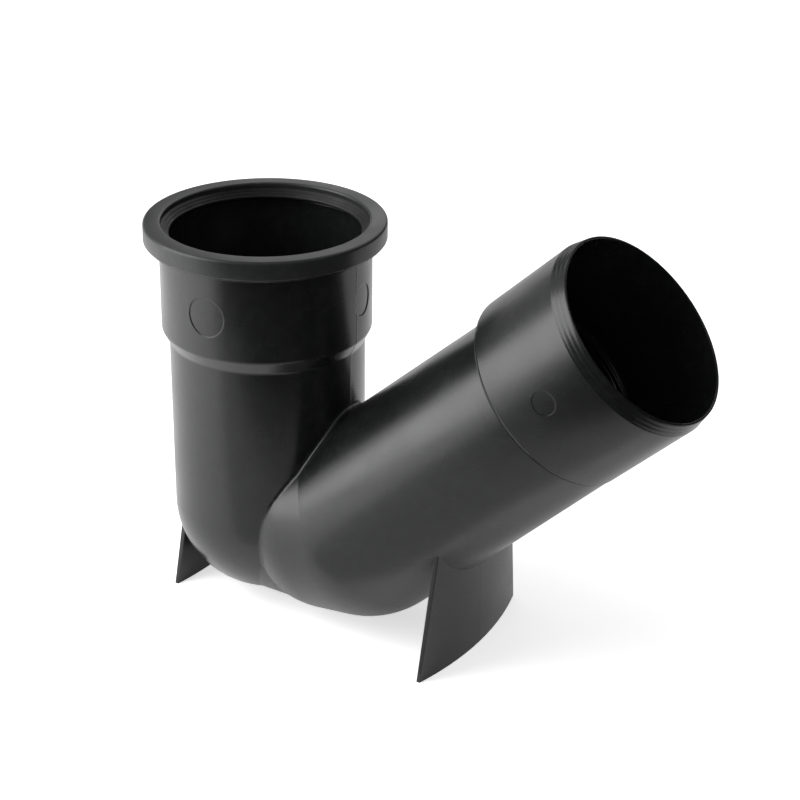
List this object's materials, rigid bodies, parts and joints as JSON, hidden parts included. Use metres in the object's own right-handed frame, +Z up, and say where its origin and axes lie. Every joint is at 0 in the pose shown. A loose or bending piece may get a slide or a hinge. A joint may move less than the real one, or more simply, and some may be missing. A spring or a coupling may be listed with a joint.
{
  "type": "trapped drain gully",
  "caption": "Underground P-trap gully: a vertical push-fit socket with a ring seal, a rounded trap bend and a plain outlet that rises at an angle, on two flat feet.",
  "frame": {"origin": "centre of the seal lip's bore at the inlet, half way along the lip's land", "axes": "+Z up along the inlet's axis, +X towards the outlet, Y across the gully"},
  "size_m": [0.3257, 0.132, 0.246],
  "materials": {
    "body_plastic": "black moulded PVC-U, half gloss",
    "cap_plastic": "black moulded polypropylene, matt",
    "seal_rubber": "black moulded rubber"
  },
  "bodies": {
    "root": {"trap_body": "body_plastic", "retaining_cap": "cap_plastic", "ring_seal": "seal_rubber"}
  },
  "joints": []
}
